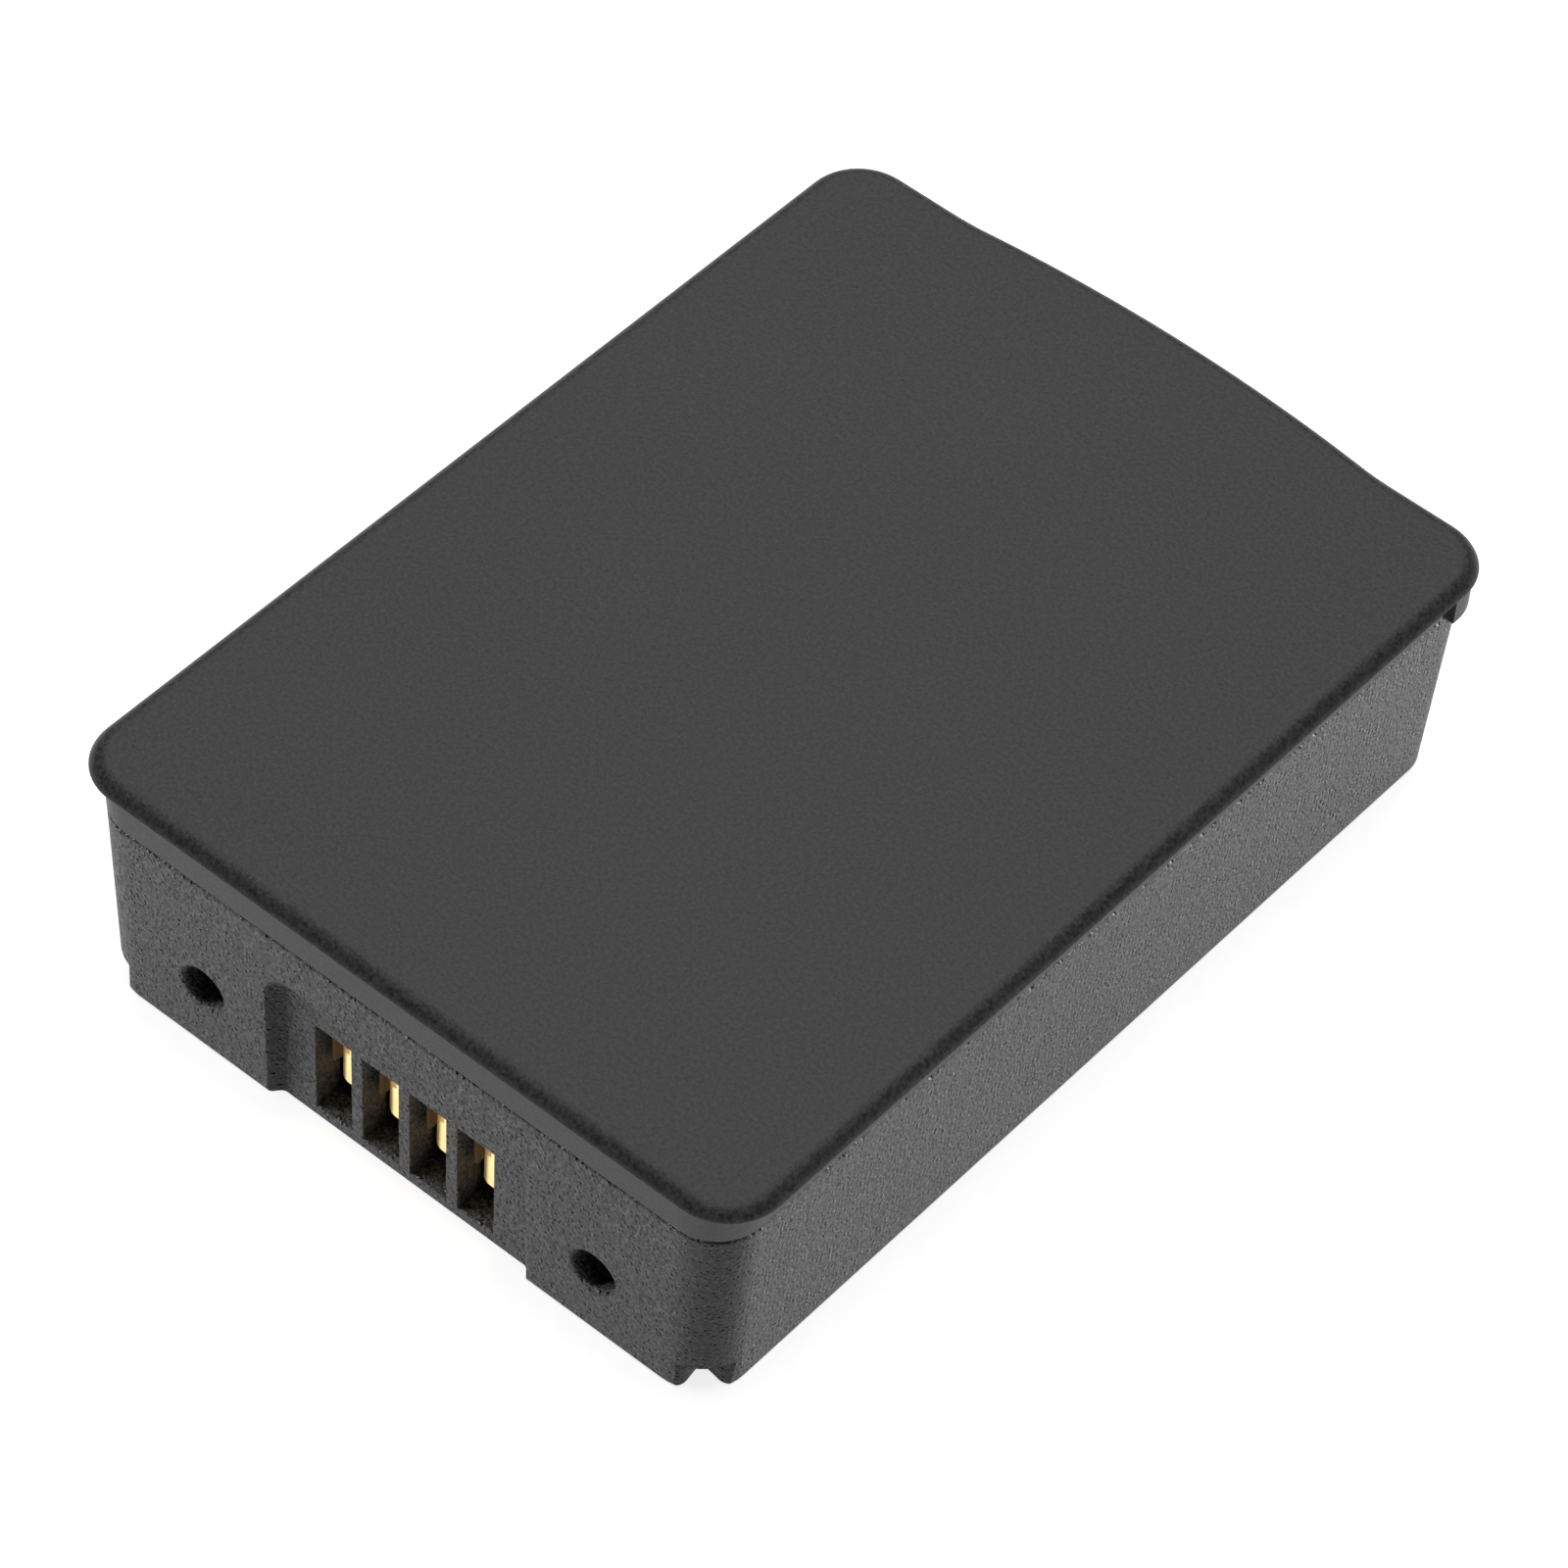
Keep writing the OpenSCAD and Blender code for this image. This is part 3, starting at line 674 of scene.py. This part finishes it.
def notchCutter(side):
    # square notch with a round root, round lobes beside it and a rounded lower edge
    f = caseForm
    edgeX, edgeY = f["foot"][:2]
    skin = f["notchSkin"]
    beyond = f["notch"] + f["notchLobe"] + f["notchBeyond"]
    level = (f["notchBase"], f["notchHigh"])

    def span(near, far):
        return sorted((side * (edgeX - near), side * (edgeX - far)))

    cutter = plainBlock("notchCutter", span(-1, f["notch"]), (edgeY - 1, edgeY + f["notch"]), level)
    strips = [plainBlock("frontStrip", span(-1, beyond), (edgeY - 1, edgeY - skin), level),
              plainBlock("sideStrip", span(-1, -skin), (edgeY - 1, edgeY + beyond), level)]
    combine(cutter, strips, "UNION")
    weld(cutter)

    def uprightAt(x, y):
        def test(edge):
            a, b = (cutter.data.vertices[v].co / mm for v in edge.vertices)
            return abs(a.z - b.z) > 0.5 and abs(abs(a.x) - x) < 0.02 and abs(a.y - y) < 0.02
        return test

    # the notch widens inwards, so its mouth is narrower than its root
    root = (edgeX - f["notch"], edgeY + f["notch"])
    frontLobe = (root[0], edgeY - skin)
    sideLobe = (edgeX + skin, root[1])
    slant = f["notchSlant"]
    selectOnly(cutter, edgeTest=uprightAt(*frontLobe))
    bpy.ops.transform.translate(value=(side * slant * mm, 0, 0))
    selectOnly(cutter, edgeTest=uprightAt(*sideLobe))
    bpy.ops.transform.translate(value=(0, -slant * mm, 0))
    frontLobe = (frontLobe[0] + slant, frontLobe[1])
    sideLobe = (sideLobe[0], sideLobe[1] - slant)
    for place, radius in [(root, f["notchRoot"]), (frontLobe, f["notchLobe"]), (sideLobe, f["notchLobe"])]:
        selectOnly(cutter, edgeTest=uprightAt(*place))
        bpy.ops.mesh.bevel(offset=radius * mm, segments=6, profile=0.5, affect="EDGES")
        bpy.ops.object.mode_set(mode="OBJECT")
    roundNotchFoot(cutter, (side * (edgeX + 1) * mm, (edgeY - 1) * mm, 0))
    return endEdit(cutter)


def roundNotchFoot(cutter, pivot):
    # the cutter widens downwards, ring by ring, and then goes straight down
    f = caseForm
    selectOnly(cutter, faceTest=lambda face: face.normal.z < -0.9)
    reach = f["notch"] + 1
    before, level = 0.0, f["notchBase"]
    rings = list(reversed(quarterTurn(f["notchBase"])))[1:]
    for out, into in rings:
        extrude(0, 0, into - level)
        grow = (reach + out) / (reach + before)
        bpy.ops.transform.resize(value=(grow, grow, 1), center_override=pivot)
        before, level = out, into
    extrude(0, 0, -1)


def makeCase():
    f = caseForm
    piece = combine(caseShell(), insideParts(), "UNION")
    cutters = [bayCutter()]
    cutters += [slotCutter((i - (f["slots"] - 1) / 2) * f["slotPitch"]) for i in range(f["slots"])]
    face = frontFace(f["socketZ"])
    for side in (-1, 1):
        cutters.append(addRod("socketCutter", side * f["socketX"], (face - 1, face + f["socketDepth"]),
                              f["socketZ"], f["socketRadius"]))
        cutters.append(notchCutter(side))
    combine(piece, cutters, "DIFFERENCE")
    weld(piece)

    def isSocketMouth(p):
        away = math.hypot(abs(p.x) - f["socketX"], p.z - f["socketZ"])
        return abs(away - f["socketRadius"]) < 0.05 and p.y < face + 0.3

    mouths = breakEdges(piece, 40, f["socketRound"], 4, isSocketMouth)
    smoothPiece(piece, f["smooth"])
    dress(piece, "case_plastic")
    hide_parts("case")
    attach(piece, "root")
    print("case:", mouths, "mouth edges rounded,", len(piece.data.polygons), "faces")


makeCase()


# cover

coverForm = {
    "half": 25.25, "front": -35.515, "rear": 34.485, "corner": 3.8, "smooth": 35,
    "bulge": 1.03, "bulgeRadius": 120.0, "blendRadius": 20.0, "bowCuts": 59,
    "rim": 17.4, "top": 18.2, "edgeRadius": 1.2, "edgeTurn": 65, "edgeSteps": 12, "rimBreak": 0.07,
    # half width, front, rear and level of each drafted block, and its front and rear corner radii
    "skirtFoot": (24.1365, -34.9992, 33.7863, 14.65), "skirtHead": (24.274, -35.0872, 33.8138, 17.8),
    "skirtCorners": (3.3, 2.6), "skirtEdge": 0.13,
    "tongueFoot": (23.2784, -34.1615, 32.9745, 13.3), "tongueHead": (23.3963, -34.2368, 32.998, 16.0),
    "tongueCorners": (2.5, 1.8),
    "hollowFoot": (22.6217, -33.5253, 32.3631, 12.0), "hollowHead": (22.8217, -33.6536, 32.4033, 16.6),
    "hollowCorners": (1.9, 1.2),
    "lip": 0.4, "lipLength": 4.0, "lipCorner": 3.0,
}


def bowedEdge(x):
    # how far the rear edge stands out: an arc with two hollow blends
    c = coverForm
    reach = c["bulgeRadius"] + c["blendRadius"]
    turn = math.acos((reach - c["bulge"]) / reach)
    join, end = c["bulgeRadius"] * math.sin(turn), reach * math.sin(turn)
    if abs(x) < join:
        return c["bulge"] - c["bulgeRadius"] + math.sqrt(c["bulgeRadius"] ** 2 - x * x)
    if abs(x) < end:
        return c["blendRadius"] - math.sqrt(c["blendRadius"] ** 2 - (end - abs(x)) ** 2)
    return 0


def bowedSheet(name, inset, front, corner, z):
    # flat sheet with round corners whose rear edge bows out
    c = coverForm
    rear = c["rear"] - inset
    piece = addSheet(name, (inset - c["half"], c["half"] - inset), (front, rear), z)
    if front < 0:
        roundCorners(piece, corner, 14, lambda p: p.y < 0)
    roundCorners(piece, corner, 14, lambda p: p.y > rear - 0.01)
    straight = c["half"] - inset - corner

    def isRear(co):
        return co.y / mm > rear - 0.001

    selectOnly(piece, edgeTest=lambda edge: all(isRear(piece.data.vertices[v].co) for v in edge.vertices))
    bpy.ops.mesh.subdivide(number_cuts=c["bowCuts"])
    bpy.ops.object.mode_set(mode="OBJECT")
    along = {round(abs(vert.co.x / mm), 3) for vert in piece.data.vertices if isRear(vert.co)}
    for place in sorted(x for x in along if x < straight):
        selectOnly(piece, vertTest=lambda co: isRear(co) and abs(abs(co.x / mm) - place) < 0.002)
        bpy.ops.transform.translate(value=(0, bowedEdge(place) * mm, 0))
    bpy.ops.mesh.select_all(action="SELECT")
    return piece


def coverRim():
    # the rim's land, then the top edge turned ring by ring
    c = coverForm
    bottom = c["rim"] + c["rimBreak"]
    piece = bowedSheet("coverMoulding", 0, c["front"], c["corner"], bottom)
    extrude(0, 0, c["top"] - bottom - c["edgeRadius"] * (1 - math.cos(math.radians(c["edgeTurn"]))))
    turnEdge(c["edgeRadius"], c["edgeSteps"], c["edgeTurn"])
    return turnLowerEdge(piece, bottom, c["rimBreak"], 2)


def makeCover():
    c = coverForm
    piece = coverRim()
    half, front, rear, level = c["skirtFoot"]
    low = level + c["skirtEdge"]
    skirt = draftedBlock("skirt", (half, front, rear, low), c["skirtHead"], *c["skirtCorners"])
    turnLowerEdge(skirt, low, c["skirtEdge"], 3)
    tongue = endEdit(draftedBlock("tongue", c["tongueFoot"], c["tongueHead"], *c["tongueCorners"]))
    lip = bowedSheet("lip", c["lip"], c["rear"] - c["lipLength"], c["lipCorner"], low)
    extrude(0, 0, c["skirtHead"][3] - low)
    turnLowerEdge(lip, low, c["skirtEdge"], 3)
    # the lip goes first and nothing is welded, so that every run gives the same mesh
    combine(piece, [lip, skirt, tongue], "UNION")
    hollow = endEdit(draftedBlock("hollow", c["hollowFoot"], c["hollowHead"], *c["hollowCorners"]))
    combine(piece, [hollow], "DIFFERENCE")
    smoothPiece(piece, c["smooth"])
    dress(piece, "cover_plastic")
    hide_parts("cover")
    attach(piece, "root")
    print("cover:", len(piece.data.polygons), "faces")


makeCover()


# contacts

contactForm = {
    "half": 1.15, "low": 1.65, "high": 8.35, "thick": 0.3, "footRound": 0.5,
    "cheekLow": 4.35, "cheekHigh": 7.95, "cheekReach": 0.95, "bend": 0.3,
    "cheekRoot": 0.3, "tailHalf": 0.5, "tailLow": 7.45, "tailEnd": -28.094, "edge": 0.04, "smooth": 40,
}


def makeContactPattern():
    # a pad with a round foot, two cheeks folded forward and a tail behind
    c = contactForm
    front = caseForm["contactY"]
    pad = addSheet("contactPattern", (-c["half"], c["half"]), front, (c["low"], c["high"]))
    roundCorners(pad, c["footRound"], 6, lambda p: p.z < 5)
    extrude(0, c["thick"], 0)
    endEdit(pad)
    breakEdges(pad, 40, c["edge"], 2, lambda p: p.y < front + 0.01)
    parts = []
    middle = front + c["thick"] / 2
    for side in (-1, 1):
        start = side * (c["half"] - c["thick"] / 2 - c["bend"])
        cheek = addSheet("cheek", sorted((start - side * c["cheekRoot"], start)), middle,
                         (c["cheekLow"], c["cheekHigh"]))
        selectOnly(cheek, vertTest=lambda co: abs(co.x / mm - start) < 0.01)
        bpy.ops.mesh.spin(steps=6, angle=-side * math.pi / 2, axis=(0, 0, -1),
                          center=(start * mm, (middle - c["bend"]) * mm, 0))
        extrude(0, c["bend"] - c["thick"] / 2 - c["cheekReach"], 0)
        endEdit(cheek)
        thick = cheek.modifiers.new("thick", "SOLIDIFY")
        thick.thickness = c["thick"] * mm
        thick.offset = 0
        applyModifiers(cheek)
        startEdit(cheek)
        parts.append(endEdit(cheek))
    parts.append(plainBlock("tail", (-c["tailHalf"], c["tailHalf"]), (middle, c["tailEnd"]),
                            (c["tailLow"], c["tailLow"] + c["thick"])))
    combine(pad, parts, "UNION")
    weld(pad)
    smoothPiece(pad, c["smooth"])
    return pad


def makeContacts():
    pattern = makeContactPattern()
    names = ["contact_positive", "contact_data", "contact_temperature", "contact_negative"]
    for i, name in enumerate(names):
        piece = bpy.data.objects.new(name.replace("contact_", "spring_"), pattern.data.copy())
        bpy.context.scene.collection.objects.link(piece)
        pick(piece)
        piece.location.x = (i - (len(names) - 1) / 2) * caseForm["slotPitch"] * mm
        bpy.ops.object.transform_apply(location=True, rotation=True, scale=True)
        dress(piece, "contact_gold")
        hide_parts(name)
        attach(piece, "root")
    bpy.data.objects.remove(pattern)
    print("contacts made")


makeContacts()


# floor and light

studio = {
    "floorSize": 3.0, "floorDrop": 0.00002,
    "floorColour": (0.9, 0.9, 0.9), "floorRough": 0.9, "floorGloss": 0.1,
    "domeRadius": 1.4, "domeColour": (0.03, 0.03, 0.03),
    "lamps": [
        # name, place, size, power in watts and the slot it lights alone; each looks at the pack
        ("leftFrontStrip", (-0.80, -0.41, 0.05), (0.5, 0.08), 11.3, "case_plastic"),
        ("rightRearStrip", (0.30, 0.85, 0.06), (0.5, 0.08), 19.5, "case_plastic"),
        ("contactLamp", (-0.11, -0.48, 0.06), (0.06, 0.06), 4.0, "contact_gold"),
        ("rearLeftBox", (-0.36, 0.48, 0.68), (0.6, 0.6), 1.8, None),
        ("overheadBox", (0.0, 0.0, 0.8), (0.5, 0.5), 1.7, None),
    ],
    "fill": 0.13,
    "floorGlow": 0.8,
}


def seenRays(start):
    # 1 for what the camera sees, straight or by way of gloss and glass
    camera = start.node("ShaderNodeLightPath", {}, {}, "Is Camera Ray")
    glossy = start.node("ShaderNodeLightPath", {}, {}, "Is Glossy Ray")
    through = start.node("ShaderNodeLightPath", {}, {}, "Is Transmission Ray")
    return (camera + glossy + through).ramp(0.0, 1.0)


def makeFloor():
    deselectAll()
    bpy.ops.mesh.primitive_plane_add(size=studio["floorSize"], location=(0, 0, -studio["floorDrop"]))
    floor = bpy.context.object
    floor.name = "paleFloor"
    bpy.ops.object.transform_apply(location=True, rotation=True, scale=True)
    constants = {"Base Color": (*studio["floorColour"], 1), "Roughness": studio["floorRough"],
                 "Specular IOR Level": studio["floorGloss"], "Emission Color": (1, 1, 1, 1)}
    material, shader, start, place = newFinish("paleFloor", constants)
    # the camera and mirrors see it nearly white, and the object's shadow stays
    glow = seenRays(start) * studio["floorGlow"]
    material.node_tree.links.new(glow.socket, shader.inputs["Emission Strength"])
    floor.data.materials.append(material)


def makeStudioDome():
    # a dark room that only reflections see, so that the lamps and the floor shape them
    deselectAll()
    bpy.ops.mesh.primitive_uv_sphere_add(segments=48, ring_count=24, radius=studio["domeRadius"],
                                         location=(0, 0, 0))
    dome = bpy.context.object
    dome.name = "studioDome"
    constants = {"Base Color": (*studio["domeColour"], 1), "Roughness": 1.0}
    dome.data.materials.append(newFinish("studioDome", constants)[0])
    dome.visible_camera = False
    dome.visible_diffuse = False
    dome.visible_shadow = False


def makeLamps():
    for name, place, size, power, slotName in studio["lamps"]:
        data = bpy.data.lights.new(name, "AREA")
        data.shape = "RECTANGLE"
        data.size, data.size_y = size
        data.energy = power
        lamp = bpy.data.objects.new(name, data)
        lamp.location = place
        lamp.rotation_euler = (-Vector(place)).to_track_quat("-Z", "Y").to_euler()
        bpy.context.scene.collection.objects.link(lamp)
        if slotName:
            lit = bpy.data.collections.new(name + "Lit")
            for piece in bpy.context.scene.objects:
                if piece.type == "MESH" and finishes[slotName].name in piece.data.materials:
                    lit.objects.link(piece)
            lamp.light_linking.receiver_collection = lit


def makeWorld():
    world = bpy.data.worlds.new("paleWorld")
    bpy.context.scene.world = world
    world.use_nodes = True
    tree = world.node_tree
    start = Wire(tree)
    background = tree.nodes["Background"]
    strength = studio["fill"] + (1 - studio["fill"]) * seenRays(start)
    tree.links.new(strength.socket, background.inputs["Strength"])
    background.inputs["Color"].default_value = (1, 1, 1, 1)


makeFloor()
makeStudioDome()
makeLamps()
makeWorld()
bpy.context.scene.view_settings.view_transform = "Standard"
print("floor and light made")

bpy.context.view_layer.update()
deselectAll()
